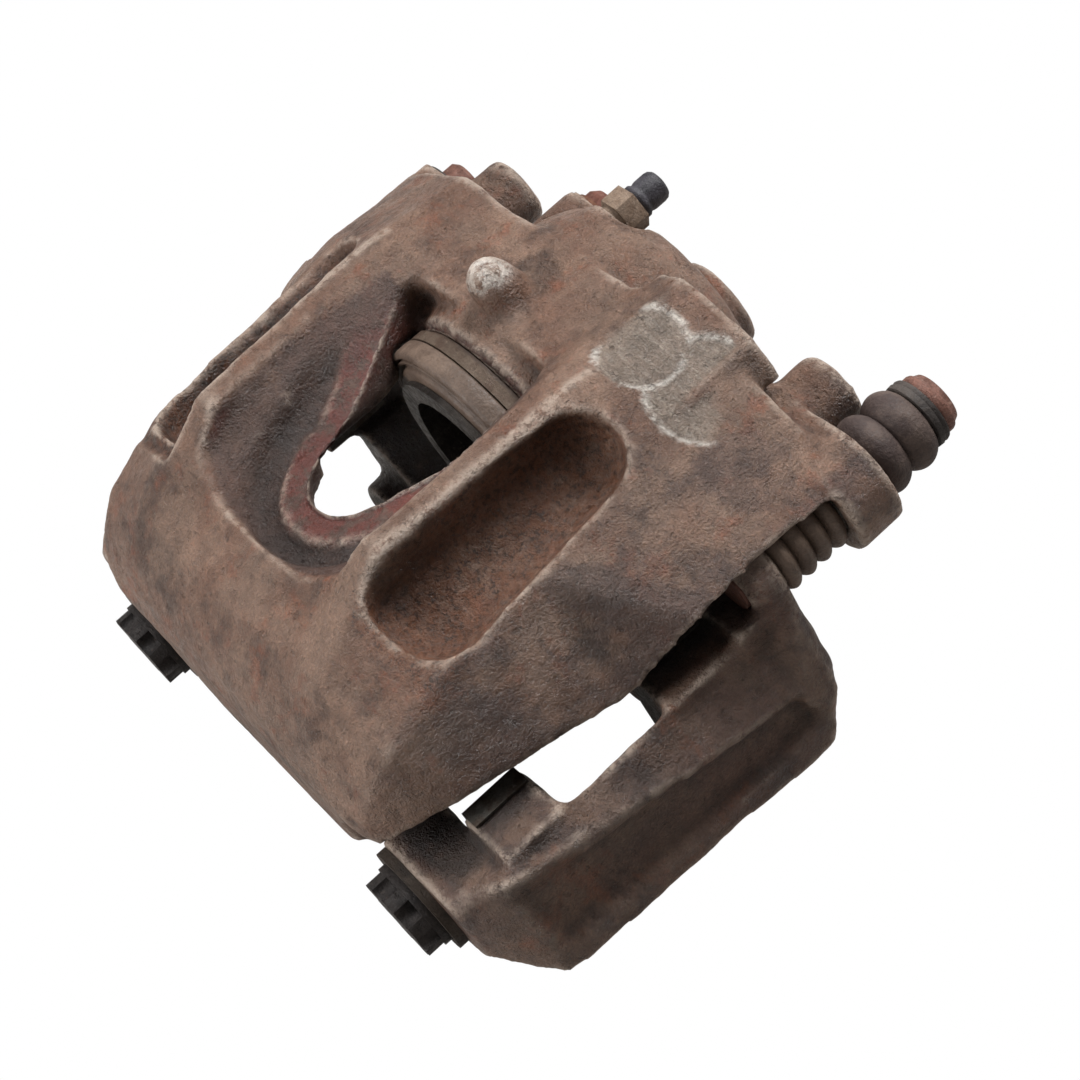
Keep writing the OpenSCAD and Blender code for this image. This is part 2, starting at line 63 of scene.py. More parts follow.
# %% [markdown]
# ## Camera
#
# The caliper lies tilted in the view, so the camera is rolled. A long lens
# from about 0.64 m keeps the castings free of strong perspective. The three
# directions below are the camera's own right, up and backward axes.

# %% Camera
camera_data = bpy.data.cameras.new("studio_camera")
camera_data.lens = 85.03
camera_data.sensor_width = 36
camera_data.clip_start = 0.01
camera = bpy.data.objects.new("studio_camera", camera_data)
bpy.context.collection.objects.link(camera)
cam_place = (0.4658, -0.0765, 0.4305)
cam_right = Vector((0.5588, 0.7336, -0.3867)).normalized()
cam_back = Vector((0.7006, -0.1680, 0.6935)).normalized()
cam_up = cam_back.cross(cam_right).normalized()
turn = Matrix((cam_right, cam_up, cam_back)).transposed().to_4x4()
camera.matrix_world = Matrix.Translation(cam_place) @ turn
bpy.context.scene.camera = camera
print("camera at", [round(c, 3) for c in camera.location])

# %% [markdown]
# ## Light and floor
#
# A product table: a soft lamp above the inboard side, one in front of the
# fingers, a weaker one overhead, and a pale floor. Straight to the camera the
# floor and the world are plain white, but as light they are dim, so that the
# undersides and hollows stay dark.

# %% Lights, world and floor
scene = bpy.context.scene
scene.view_settings.view_transform = "Standard"
scene.view_settings.look = "None"


def soft_lamp(name, place, size, power, colour=(1, 1, 1)):
    """A square area lamp that looks at the caliper; place and size in metres, power in watts."""
    data = bpy.data.lights.new(name, "AREA")
    data.size = size
    data.energy = power
    data.color = colour
    lamp = bpy.data.objects.new(name, data)
    bpy.context.collection.objects.link(lamp)
    lamp.location = place
    aim = Vector((0, 0.02, 0)) - Vector(place)
    lamp.rotation_euler = aim.to_track_quat("-Z", "Y").to_euler()
    return lamp


soft_lamp("key_lamp", (-0.10, 0.95, 0.90), 0.5, 24)
soft_lamp("front_lamp", (-0.35, -1.05, 0.75), 0.7, 17)
soft_lamp("top_lamp", (-0.25, -0.05, 1.30), 0.7, 6)


def white_to_camera(tree, dim, target):
    """White where the camera looks straight at it, and dim as a light on the caliper."""
    path = tree.nodes.new("ShaderNodeLightPath")
    white = tree.nodes.new("ShaderNodeEmission" if target != "world" else "ShaderNodeBackground")
    white.inputs["Color"].default_value = (1, 1, 1, 1)
    white.inputs["Strength"].default_value = 1.0
    mix = tree.nodes.new("ShaderNodeMixShader")
    tree.links.new(path.outputs["Is Camera Ray"], mix.inputs[0])
    tree.links.new(dim.outputs[0], mix.inputs[1])
    tree.links.new(white.outputs[0], mix.inputs[2])
    output = next(n for n in tree.nodes if n.type.startswith("OUTPUT"))
    tree.links.new(mix.outputs[0], output.inputs["Surface"])


world = bpy.data.worlds.new("studio")
scene.world = world
world.use_nodes = True
sky = world.node_tree.nodes["Background"]
sky.inputs["Color"].default_value = (1, 0.98, 0.96, 1)
sky.inputs["Strength"].default_value = 0.20
white_to_camera(world.node_tree, sky, "world")

lowest = min(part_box(n)[0].z for n in nodes)
floor_gap = 0.0005
bm = bmesh.new()
bmesh.ops.create_grid(bm, x_segments=2, y_segments=2, size=6)
bmesh.ops.translate(bm, vec=(0, 0, lowest - floor_gap), verts=bm.verts)
floor_mesh = bpy.data.meshes.new("floor")
bm.to_mesh(floor_mesh)
bm.free()
floor = bpy.data.objects.new("floor", floor_mesh)
bpy.context.collection.objects.link(floor)
floor_paint = bpy.data.materials.new("pale_floor")
floor_paint.use_nodes = True
floor_bsdf = floor_paint.node_tree.nodes["Principled BSDF"]
floor_bsdf.inputs["Base Color"].default_value = (0.35, 0.33, 0.31, 1)
floor_bsdf.inputs["Roughness"].default_value = 0.9
white_to_camera(floor_paint.node_tree, floor_bsdf, "floor")
floor.data.materials.append(floor_paint)
print("floor at", round(lowest - floor_gap, 4))

# %% [markdown]
# ## A small kit for materials
#
# Every finish here is a stack: a base colour, patches mixed over it by a
# noise or by an attribute painted on the mesh, and a fine bump. These helpers
# keep each stack readable. All patterns read Object coordinates in
# millimetres, so a scale of 0.1 means features of about 10 mm.

# %% Material helpers
def srgb(code):
    """A hex colour such as #6b5c50 as linear RGBA."""
    parts = [int(code[i:i + 2], 16) / 255 for i in (1, 3, 5)]
    return [c / 12.92 if c <= 0.04045 else ((c + 0.055) / 1.055) ** 2.4 for c in parts] + [1]


class Finish:
    """A material under construction: each call adds one layer and returns its output."""

    def __init__(self, name, colour, roughness=0.6, metallic=0.0):
        self.material = bpy.data.materials.new(name)
        self.material.use_nodes = True
        self.tree = self.material.node_tree
        self.bsdf = self.tree.nodes["Principled BSDF"]
        self.bsdf.inputs["Metallic"].default_value = metallic
        self.bsdf.inputs["Roughness"].default_value = roughness
        self.colour = self.node("ShaderNodeRGB")
        self.colour.outputs[0].default_value = srgb(colour)
        self.colour = self.colour.outputs[0]
        self.rough = None
        self.height = None
        place = self.node("ShaderNodeTexCoord")
        scale = self.node("ShaderNodeMapping")
        scale.inputs["Scale"].default_value = (1000, 1000, 1000)
        self.link(place.outputs["Object"], scale.inputs["Vector"])
        self.place = scale.outputs["Vector"]

    def node(self, kind):
        return self.tree.nodes.new(kind)

    def link(self, a, b):
        self.tree.links.new(a, b)

    def noise(self, scale, detail=4, rough=0.6, low=0.4, high=0.6, stretch=(1, 1, 1), seed=0):
        """Noise with edges between low and high, as a value from 0 to 1."""
        move = self.node("ShaderNodeMapping")
        move.inputs["Location"].default_value = (seed * 31.7, seed * 17.3, seed * 7.9)
        move.inputs["Scale"].default_value = stretch
        self.link(self.place, move.inputs["Vector"])
        texture = self.node("ShaderNodeTexNoise")
        texture.inputs["Scale"].default_value = scale
        texture.inputs["Detail"].default_value = detail
        texture.inputs["Roughness"].default_value = rough
        self.link(move.outputs["Vector"], texture.inputs["Vector"])
        return self.band(texture.outputs["Fac"], low, high)

    def band(self, value, low, high):
        step = self.node("ShaderNodeMapRange")
        step.interpolation_type = "SMOOTHSTEP"
        step.inputs["From Min"].default_value = low
        step.inputs["From Max"].default_value = high
        self.link(value, step.inputs["Value"])
        return step.outputs["Result"]

    def attribute(self, name):
        found = self.node("ShaderNodeAttribute")
        found.attribute_name = name
        return found.outputs["Fac"]

    def within(self, name, *pattern, **options):
        """An attribute broken up by noise, so that its zone has a ragged edge."""
        zone = self.attribute(name)
        return self.maths("MULTIPLY", zone, self.noise(*pattern, **options))

    def maths(self, operation, a, b):
        step = self.node("ShaderNodeMath")
        step.operation = operation
        for socket, value in zip(step.inputs, (a, b)):
            if isinstance(value, (int, float)):
                socket.default_value = value
            else:
                self.link(value, socket)
        return step.outputs[0]

    def patch(self, mask, colour, strength=1.0):
        """Mixes a colour over what is there, where the mask is 1."""
        mix = self.node("ShaderNodeMix")
        mix.data_type = "RGBA"
        if strength != 1.0:
            mask = self.maths("MULTIPLY", mask, strength)
        self.link(mask, mix.inputs["Factor"])
        self.link(self.colour, mix.inputs["A"])
        mix.inputs["B"].default_value = srgb(colour)
        self.colour = mix.outputs["Result"]

    def shade(self, mask, dark, light):
        """Multiplies the colour by a value that runs from dark to light with the mask."""
        step = self.node("ShaderNodeMapRange")
        step.inputs["To Min"].default_value = dark
        step.inputs["To Max"].default_value = light
        self.link(mask, step.inputs["Value"])
        mix = self.node("ShaderNodeMix")
        mix.data_type = "RGBA"
        mix.blend_type = "MULTIPLY"
        mix.inputs["Factor"].default_value = 1.0
        self.link(self.colour, mix.inputs["A"])
        self.link(step.outputs["Result"], mix.inputs["B"])
        self.colour = mix.outputs["Result"]

    def gloss(self, mask, low, high):
        """Roughness runs from low to high with the mask."""
        step = self.node("ShaderNodeMapRange")
        step.inputs["To Min"].default_value = low
        step.inputs["To Max"].default_value = high
        self.link(mask, step.inputs["Value"])
        self.rough = step.outputs["Result"]

    def bump(self, mask, height_mm):
        """Raises the surface by height_mm where the mask is 1."""
        bump = self.node("ShaderNodeBump")
        bump.inputs["Distance"].default_value = height_mm * MM
        bump.inputs["Strength"].default_value = 1.0
        self.link(mask, bump.inputs["Height"])
        if self.height is not None:
            self.link(self.height, bump.inputs["Normal"])
        self.height = bump.outputs["Normal"]

    def done(self):
        self.link(self.colour, self.bsdf.inputs["Base Color"])
        if self.rough is not None:
            self.link(self.rough, self.bsdf.inputs["Roughness"])
        if self.height is not None:
            self.link(self.height, self.bsdf.inputs["Normal"])
        return self.material


# %% [markdown]
# ## Rusty cast iron
#
# Sand-cast iron that has lived behind a wheel is never one brown. Up close it
# is grainy, because the sand leaves its print. Over that lie taupe dust,
# orange rust in the hollows, purple-grey scale, and pale scratches on the
# edges, with painted highlights along the ribs' crests. Dark dirt and painted
# shade fill the hollows, and undersides and recesses carry painted shade
# with some grime. The castings carry painted attributes that say where each
# belongs. Both have one for worn edges with painted highlights, one for dirt
# with painted shade in hollows, and one for painted shade with grime. Only
# the housing has flank, valley, paint, channel, scoop, milled, cut_edge and
# post, so its marks have a function of their own. The numbers of a noise are
# its scale per millimetre, its detail, its roughness, and the two levels
# between which it turns from 0 to 1.

# %% Cast iron material
def housing_marks(f):
    """Scale, old red paint, dirt and milled steel, each in its own zone."""
    f.patch(f.within("flank", 0.05, 6, 0.65, 0.46, 0.56, seed=12), "#3f2e2a", 0.6)
    f.patch(f.within("valley", 0.08, 5, 0.6, 0.1, 0.45, seed=13), "#49342c", 0.85)
    f.patch(f.within("paint", 0.13, 7, 0.8, 0.43, 0.53, seed=14), "#5f2a21", 0.85)
    f.patch(f.within("channel", 0.12, 6, 0.7, 0.2, 0.6, seed=15), "#2c1f1a", 0.9)
    f.patch(f.within("scoop", 0.35, 7, 0.8, 0.36, 0.60, seed=16), "#60381f", 0.85)
    f.patch(f.within("scoop", 0.6, 6, 0.8, 0.50, 0.60, seed=18), "#2d1c13", 0.85)
    f.patch(f.attribute("milled"), "#7d7064", 0.8)
    across_the_cut = (0.3, 2.2, 1)
    f.patch(f.within("milled", 0.35, 6, 0.75, 0.50, 0.60, stretch=across_the_cut, seed=21), "#978c80", 0.55)
    f.patch(f.within("milled", 0.5, 6, 0.8, 0.55, 0.63, seed=23), "#4e4238", 0.7)
    f.patch(f.within("cut_edge", 0.12, 6, 0.7, 0.42, 0.54, seed=22), "#c9c2b9", 0.9)
    f.patch(f.within("post", 0.25, 7, 0.8, 0.42, 0.54, seed=25), "#d0c8c0", 0.9)


def cast_iron(name, base, dusty, dark, rust, marks=None):
    """Grainy iron with broad patches of dust, scale and rust, then the zones' own marks."""
    f = Finish(name, base, roughness=0.62, metallic=0.0)
    f.bsdf.inputs["Specular IOR Level"].default_value = 0.55
    f.patch(f.noise(0.045, 5, 0.6, 0.40, 0.60), dusty, 0.8)
    f.patch(f.noise(0.07, 6, 0.65, 0.50, 0.64, seed=3), dark, 0.75)
    f.patch(f.noise(0.075, 7, 0.75, 0.54, 0.66, seed=5), rust, 0.6)
    # Dirt with painted shade in the hollows.
    f.patch(f.within("hollow", 0.25, 5, 0.7, 0.25, 0.6, seed=8), "#2c201a", 0.85)
    # Painted shade with some grime on undersides and in recesses.
    f.patch(f.within("shade_and_grime", 0.2, 5, 0.7, 0.15, 0.5, seed=9), "#201713", 0.85)
    if marks:
        marks(f)
    grain = f.noise(1.5, 4, 0.65, 0.32, 0.68, seed=1)
    f.shade(grain, 0.80, 1.16)
    f.shade(f.noise(0.22, 5, 0.6, 0.3, 0.7, seed=30), 0.82, 1.14)
    f.shade(f.noise(0.035, 3, 0.5, 0.35, 0.65, seed=31), 0.86, 1.10)
    # Pale worn edges, with painted highlights along the rib crests.
    f.patch(f.within("edge", 0.3, 7, 0.8, 0.38, 0.54, seed=34), "#b5a394", 0.75)
    f.patch(f.noise(0.9, 3, 0.6, 0.78, 0.81, seed=37), "#b3a799", 0.5)
    f.gloss(f.noise(0.5, 5, 0.7, 0.35, 0.65, seed=33), 0.56, 0.28)
    f.bump(f.noise(0.14, 6, 0.65, 0.0, 1.0, seed=40), 1.4)
    f.bump(grain, 0.24)
    f.bump(f.noise(0.5, 4, 0.6, 0.58, 0.68, seed=44), -0.35)
    return f.done()


housing_iron = cast_iron("rusty_housing_iron", "#6b4e3e", "#7c6353", "#463126", "#78432a", housing_marks)
carrier_iron = cast_iron("rusty_carrier_iron", "#594136", "#6a5344", "#3b2a24", "#6e3f27")
print("cast iron ready")

# %% [markdown]
# ## Rubber and small steel parts
#
# Rubber boots that have seen road dust are dull brown-grey, darker in the
# folds. The plain steel parts share one recipe with different colours: a
# blotchy oxide skin, fine pits, and a few brighter rubbed spots.

# %% Rubber and steel materials
def rubber(name, colour, dust, rough=0.7):
    f = Finish(name, colour, roughness=rough)
    f.bsdf.inputs["Specular IOR Level"].default_value = 0.35
    f.patch(f.noise(0.12, 6, 0.65, 0.42, 0.62), dust, 0.7)
    f.patch(f.noise(0.7, 5, 0.7, 0.60, 0.70, seed=4), dust, 0.6)
    grain = f.noise(1.6, 4, 0.6, 0.3, 0.7, seed=6)
    f.shade(grain, 0.82, 1.12)
    f.gloss(grain, rough - 0.1, rough + 0.1)
    f.bump(grain, 0.06)
    f.bump(f.noise(0.3, 5, 0.6, 0.2, 0.8, seed=8), 0.25)
    return f.done()


def worn_steel(name, colour, oxide, bright, metallic=0.6, rough=0.5, oxide_share=0.5):
    f = Finish(name, colour, roughness=rough, metallic=metallic)
    f.patch(f.noise(0.14, 6, 0.7, 0.6 - oxide_share * 0.3, 0.72 - oxide_share * 0.2), oxide, 0.9)
    f.patch(f.noise(0.55, 6, 0.7, 0.58, 0.68, seed=3), bright, 0.5)
    grain = f.noise(1.8, 5, 0.7, 0.3, 0.7, seed=5)
    f.shade(grain, 0.72, 1.18)
    f.gloss(f.noise(0.4, 5, 0.6, 0.3, 0.7, seed=7), rough - 0.12, rough + 0.2)
    f.bump(grain, 0.08)
    f.bump(f.noise(0.5, 5, 0.7, 0.55, 0.68, seed=9), -0.12)
    return f.done()


boot_rubber = rubber("dusty_boot_rubber", "#3d312e", "#5c4e47")
dust_boot_rubber = rubber("dusty_piston_boot_rubber", "#53443a", "#6b5a4e", 0.5)
collar_rubber = rubber("collar_rubber", "#2f2a28", "#4d4540")
seal_rubber = rubber("seal_rubber", "#1b1a1a", "#2a2827", 0.5)
cap_rubber = rubber("black_cap_rubber", "#27262a", "#47444a", 0.55)
pin_steel = worn_steel("rusty_pin_steel", "#755044", "#5a3a2f", "#9a8072", 0.2, 0.6)
bolt_steel = worn_steel("dark_bolt_steel", "#2b2523", "#1c1716", "#5d524b", 0.4, 0.5)
washer_steel = worn_steel("dark_washer_steel", "#41372f", "#2c2521", "#6a5d50", 0.4, 0.55)
clip_steel = worn_steel("dull_clip_steel", "#5b5853", "#45372d", "#8d8982", 0.7, 0.45)
bush_steel = worn_steel("bush_steel", "#77726c", "#5a463a", "#a09a92", 0.8, 0.4)
ring_steel = worn_steel("boot_ring_steel", "#57493d", "#4a392e", "#7d6e60", 0.4, 0.55)
plug_steel = worn_steel("rusty_plug_steel", "#70463a", "#573127", "#8f7264", 0.3, 0.65)
copper = worn_steel("copper_washer", "#6f4a38", "#4c3529", "#8d6650", 0.5, 0.55)
piston_steel = worn_steel("piston_steel", "#4b4642", "#2f2a27", "#86817b", 0.7, 0.4, 0.6)
bleed_steel = worn_steel("bleed_screw_steel", "#7b6858", "#5f4a3a", "#9c8a7a", 0.15, 0.6)
print("materials:", len(bpy.data.materials))

# %% Finish the plain CAD nodes
plain = {
    "left_guide_pin": pin_steel, "left_end_washer": washer_steel,
    "right_end_washer": washer_steel, "outboard_left_pad_clip": clip_steel,
    "outboard_right_pad_clip": clip_steel, "inboard_left_pad_clip": clip_steel,
    "inboard_right_pad_clip": clip_steel, "left_pin_lip_seal": collar_rubber,
    "left_guide_bush": bush_steel, "right_guide_bush": bush_steel,
    "piston_seal": seal_rubber, "dust_boot_ring": ring_steel,
    "hose_port_plug": plug_steel, "plug_washer": copper, "piston": piston_steel}
for name, finish in plain.items():
    nodes[name].data.materials.clear()
    nodes[name].data.materials.append(finish)
print("plain nodes finished:", len(plain))

# %% [markdown]
# ## Castings with soft edges
#
# A sand casting has no sharp edge: every corner is rounded by the mould and
# every inside corner is filled. Bevelling hundreds of CAD edges one by one
# would be slow and fragile. A voxel remesh wraps the whole casting in an even
# skin instead, and smoothing that skin rounds all edges at once. Machined
# places, such as bores and seats, are left out of the smoothing so that they
# stay crisp.

# %% Remesh helpers
def merged_copy(node, name):
    """A copy of a CAD node with its loose triangles joined."""
    mesh = nodes[node].data.copy()
    mesh.name = name
    piece = bpy.data.objects.new(name, mesh)
    bpy.context.collection.objects.link(piece)
    bm = bmesh.new()
    bm.from_mesh(mesh)
    bmesh.ops.remove_doubles(bm, verts=bm.verts, dist=1e-6)
    bm.to_mesh(mesh)
    bm.free()
    return piece


def bake_modifiers(piece):
    """Applies a piece's modifiers to its mesh."""
    bpy.context.view_layer.update()
    graph = bpy.context.evaluated_depsgraph_get()
    baked = bpy.data.meshes.new_from_object(piece.evaluated_get(graph))
    piece.modifiers.clear()
    piece.data = baked
    baked.name = piece.name


def cast_skin(node, name, voxel_mm):
    """An even skin of quads over a CAD casting."""
    piece = merged_copy(node, name)
    remesh = piece.modifiers.new("skin", "REMESH")
    remesh.mode = "VOXEL"
    remesh.voxel_size = voxel_mm * MM
    bake_modifiers(piece)
    return piece


def points_mm(piece):
    flat = np.empty(len(piece.data.vertices) * 3)
    piece.data.vertices.foreach_get("co", flat)
    return flat.reshape(-1, 3) / MM


def set_points_mm(piece, points):
    piece.data.vertices.foreach_set("co", (points * MM).ravel())
    piece.data.update()


def normals_of(piece):
    flat = np.empty(len(piece.data.vertices) * 3)
    piece.data.vertices.foreach_get("normal", flat)
    return flat.reshape(-1, 3)


def neighbours(piece):
    pairs = np.empty(len(piece.data.edges) * 2, int)
    piece.data.edges.foreach_get("vertices", pairs)
    return pairs.reshape(-1, 2)


def averaged(values, pairs, count):
    """Each vertex's mean over its neighbours."""
    total = np.zeros_like(values)
    for column in range(values.shape[1]):
        total[:, column] = (
            np.bincount(pairs[:, 0], values[pairs[:, 1], column], len(values))
            + np.bincount(pairs[:, 1], values[pairs[:, 0], column], len(values)))
    return total / count[:, None]


def soften(piece, passes, softness):
    """Smooths the skin; softness is 0 where it stays as it is and 1 where it moves freely."""
    points, pairs = points_mm(piece), neighbours(piece)
    count = np.maximum(np.bincount(pairs.ravel(), minlength=len(points)), 1)
    for _ in range(passes):
        points += 0.5 * softness[:, None] * (averaged(points, pairs, count) - points)
    set_points_mm(piece, points)
    return pairs, count


def save_attribute(piece, name, values):
    layer = piece.data.attributes.new(name, "FLOAT", "POINT")
    layer.data.foreach_set("value", np.clip(values, 0, 1).astype(np.float32))


def edge_and_hollow(piece, pairs, count, crest_highlight=0):
    """Paints worn edges with painted highlights where the skin is proud, and dirt with painted shade where
    it is hollow.

    Both start some way from flat and reach 1 over a span, in millimetres; crest
    adds painted highlights on edges that are rounder than that."""
    edge_start, edge_span = 0.28, 0.45
    hollow_start, hollow_span = 0.08, 0.5
    points = points_mm(piece)
    smooth = points.copy()
    for _ in range(12):
        smooth += 0.6 * (averaged(smooth, pairs, count) - smooth)
    proud = np.einsum("ij,ij->i", points - smooth, normals_of(piece))
    # Worn edges with painted highlights, and dirt with painted shade in hollows.
    save_attribute(piece, "edge", np.maximum((proud - edge_start) / edge_span, crest_highlight))
    save_attribute(piece, "hollow", (-proud - hollow_start) / hollow_span)


def ramp(value, start, end):
    """0 before start, 1 after end, smooth between."""
    t = np.clip((value - start) / (end - start), 0, 1)
    return t * t * (3 - 2 * t)


def fall(value, start, end):
    """1 before start, 0 after end, smooth between."""
    return ramp(-value, -end, -start)


def rough_cast(piece, softness, amounts):
    """Moves the skin in and out a little, as a sand mould does; amounts pairs sizes and heights in mm."""
    points, normal = points_mm(piece), normals_of(piece)
    lift = np.zeros(len(points))
    for size, height in amounts:
        lift += height * np.array([noise.noise(Vector(p / size)) for p in points])
    set_points_mm(piece, points + normal * (lift * softness)[:, None])


def keep_in_box(piece, node):
    """Holds the skin inside the CAD node's own box."""
    corner_low, corner_high = (np.array(c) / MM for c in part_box(node))
    set_points_mm(piece, np.clip(points_mm(piece), corner_low, corner_high))


def dress(piece, finish):
    """Gives a casting its finish, shaded smooth."""
    piece.data.materials.clear()
    piece.data.materials.append(finish)
    piece.data.shade_smooth()


print("remesh helpers ready")

# %% [markdown]
# ## The housing
#
# The housing is one casting: bridge, fingers and cylinder. The bore, the
# boots' seats, the ears' faces and the two bosses are machined, so they keep
# their shape while the rest is smoothed. Distances are in millimetres on the
# caliper's own axes, and the piston slides along Y at X = 0, Z = 0.

# %% Housing skin
pin_x, pin_z = 88.5, 5.5
bleed_x, bleed_z = -5, 30
port_x, port_z = -28, 16
boot_seat_r, ear_face_r, bleed_face_r, port_face_r = 37, 15.5, 8, 10.5
housing = cast_skin("housing", "housing_casting", 1.25)
p = points_mm(housing)
x, y, z = p[:, 0], p[:, 1], p[:, 2]
from_pin = np.hypot(np.abs(x) - pin_x, z - pin_z)
from_bleed = np.hypot(x - bleed_x, z - bleed_z)
from_port = np.hypot(x - port_x, z - port_z)
soft = np.ones(len(p))
soft *= 1 - (np.hypot(x, z) < boot_seat_r) * ramp(y, 34, 36.5) * fall(y, 89.5, 91)
soft *= 1 - (from_pin < ear_face_r) * ramp(y, 71, 73)
soft *= 1 - (from_bleed < bleed_face_r) * ramp(y, 88, 91)
soft *= 1 - (from_port < port_face_r) * ramp(y, 88, 91)
pairs, count = soften(housing, 4, soft)
print("housing vertices:", len(p))

# %% [markdown]
# ### The bore
#
# A voxel skin follows a round bore only roughly. Its vertices are pushed out
# to a true circle a little wider than the piston, right up to the bore's end,
# so that the piston can slide through its whole stroke.

# %% Housing bore
bore_r, bore_end_y = 30.12, 88.4
p = points_mm(housing)
x, y, z = p[:, 0], p[:, 1], p[:, 2]
from_axis = np.hypot(x, z)
inside = from_axis < 31.2
on_bore = inside & (from_axis > 29) & (y > 38) & (y < 89.8)
scale = np.where(on_bore, bore_r / np.maximum(from_axis, 1), 1)
p[:, 0] *= scale
p[:, 2] *= scale
at_end = inside & (y > 86) & (y < 90)
p[at_end, 1] = np.maximum(y[at_end], bore_end_y)
set_points_mm(housing, p)
print("vertices on the bore:", int(on_bore.sum()))

# %% [markdown]
# ### Zones on the bridge
#
# Paint, rust and dirt lie in different places on the bridge. A zone is a
# number from 0 to 1 at each vertex, worked out from where the vertex is and
# which way it faces. It needs no unwrapping, and the finish can read it
# as an attribute. Old red paint is left on the valley's floor round the
# window, and a dirty channel runs outside it.

# %% Window, valley and underside
normal = normals_of(housing)
facing_up = normal[:, 2]
window_end_y, window_end_r = 6.5, 14
window_end = np.hypot(x + 0.5, y - window_end_y) - window_end_r
window_width = np.interp(y, (window_end_y, 16, 48), (window_end_r, 17.5, 30))
from_window = np.where(y < window_end_y, window_end, np.abs(x) - window_width)
valley_floor = ramp(z, 22, 25) * fall(z, 34, 40) * ramp(facing_up, 0.3, 0.7) * (y < 46) * (y > -27)
painted_floor = valley_floor * fall(from_window, 7, 9)
channel = valley_floor * ramp(from_window, 7.5, 9.5) * fall(from_window, 13, 17) * ramp(facing_up, 0.5, 0.8)
valley_wall = fall(np.abs(x), 36, 38.5) * ramp(y, -20, -10) * fall(y, 42, 46) * ramp(z, 26, 29)
valley_wall *= fall(z, 42.5, 44) * fall(facing_up, 0.2, 0.5)
nose_z = np.interp(y, (-53, -51.5, -46.5, -38.5, -26.5, -8.5), (2, 9, 17, 25, 31, 44.6))
valley = ramp(nose_z - z, 1.0, 3.0) * fall(np.abs(x), 37, 39) * (y < 47) * (y > -32) * (z > 15)
# Painted shade on the undersides and on the window's lower walls.
underside_shade = fall(facing_up, -0.4, -0.1) * (y > -29) * (y < 60)
underside_shade = np.maximum(underside_shade, fall(from_window, 0.4, 1.2) * (z < 28) * (z > 0) * (y < 44))
print("painted vertices:", int((painted_floor > 0.5).sum()))

# %% [markdown]
# ### Long pockets
#
# Each rib has a long pocket, cast into the slope that falls away to the side.
# Being below that slope is what tells a pocket from the skin round it.

# %% Long pockets
rib_top_z, rib_side_x = 45, 46
slope_drop, slope_width = 14, 23.5


def below_slope(points):
    """How far points lie below the slope at a rib's side."""
    return rib_top_z - (np.abs(points[:, 0]) - rib_side_x) * slope_drop / slope_width - points[:, 2]


def pocket_mask(points):
    """1 inside the long pockets, 0 on the slope that they are cut into."""
    across, along, up = np.abs(points[:, 0]), points[:, 1], points[:, 2]
    mask = ramp(below_slope(points), 0.8, 3) * ramp(across, 43, 46) * fall(across, 70, 74)
    return mask * ramp(along, -26, -22) * fall(along, 50, 54) * (up > 12)


left_pocket = pocket_mask(p) * ramp(-x, 40, 46)
left_pocket_floor = left_pocket * ramp(below_slope(p), 3, 8)
print("vertices in the left pocket:", int((left_pocket > 0.5).sum()))

# %% [markdown]
# ### The milled pad
#
# The pad on the right wing was spot-faced with a round cutter in two passes
# that overlap, and the cutter left bright rims. The pad slopes, so a circle
# on it is narrower along X by the cosine of the slope.

# %% Milled pad
pad_sin, pad_cos = 0.368, 0.930
pad_x, pad_z = 42, 44.2
first_r, second_r = 11, 13.5
pad_height = pad_sin * (x - pad_x) + pad_cos * (z - pad_z)
on_pad = fall(np.abs(pad_height), 0.9, 1.6) * ramp(facing_up, 0.8, 0.9) * (x > 30)
from_first = np.hypot((x - 47.7) / pad_cos, y - 68.5)
from_second = np.hypot((x - 65) / pad_cos, y - 71)
cutter = np.minimum(from_first - first_r, from_second - second_r)
milled = on_pad * fall(cutter, -0.6, 0.6)
outer_rim = on_pad * fall(np.abs(cutter), 0.3, 1.0)
inner_rim = on_pad * fall(np.abs(from_first - first_r), 0.3, 0.9) * (from_second < second_r - 0.5)
print("milled vertices:", int((milled > 0.5).sum()))

# %% Cut the housing's skin and save its zones
pad_cut, channel_cut, pocket_cut, floor_cut = 0.9, 2.0, 3.5, 2.0
p = p - normal * (pad_cut * milled + channel_cut * channel)[:, None]
p[:, 2] -= pocket_cut * left_pocket_floor + floor_cut * fall(from_window, 12, 20) * valley_floor
set_points_mm(housing, p)
outward = normal[:, 0] * np.sign(x)
from_post = np.hypot(x + 1, y - 60)
zones = {
    "paint": np.maximum(painted_floor, 0.6 * valley_wall),
    "channel": channel,
    "valley": valley,
    "milled": milled,
    "cut_edge": np.maximum(outer_rim, inner_rim),
    "scoop": pocket_mask(points_mm(housing)),
    # Painted shade, with some grime, in the left pocket and on the undersides.
    "shade_and_grime": np.maximum(0.9 * left_pocket, underside_shade),
    "post": ramp(z, 45, 48.5) * fall(from_post, 8, 12),
    "flank": ramp(np.abs(x), 62, 68) * ramp(outward, 0.3, 0.6) * ramp(y, -40, -20)}
for zone, values in zones.items():
    save_attribute(housing, zone, values)
print("zones:", ", ".join(zones))

# %% Housing: casting texture, worn edges and finish
rib_crest_x = 45
rough_cast(housing, soft * (1 - 0.8 * milled), ((16, 0.32), (5, 0.14), (2.4, 0.10)))
keep_in_box(housing, "housing")
# A painted highlight along each rib's crest, added to the worn edges.
crest_highlight = fall(np.abs(np.abs(x) - rib_crest_x), 0.8, 2.4) * ramp(z, 42.8, 44) * ramp(y, -14, -8) * (y < 56)
edge_and_hollow(housing, pairs, count, 0.9 * crest_highlight)
dress(housing, housing_iron)
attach(housing, "housing")
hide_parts("housing")
print("housing faces:", len(housing.data.polygons))

# %% [markdown]
# ## The carrier
#
# The carrier gets the same treatment. Its threaded holes, the steps that
# guide the pads and the end bolts' seats are machined.

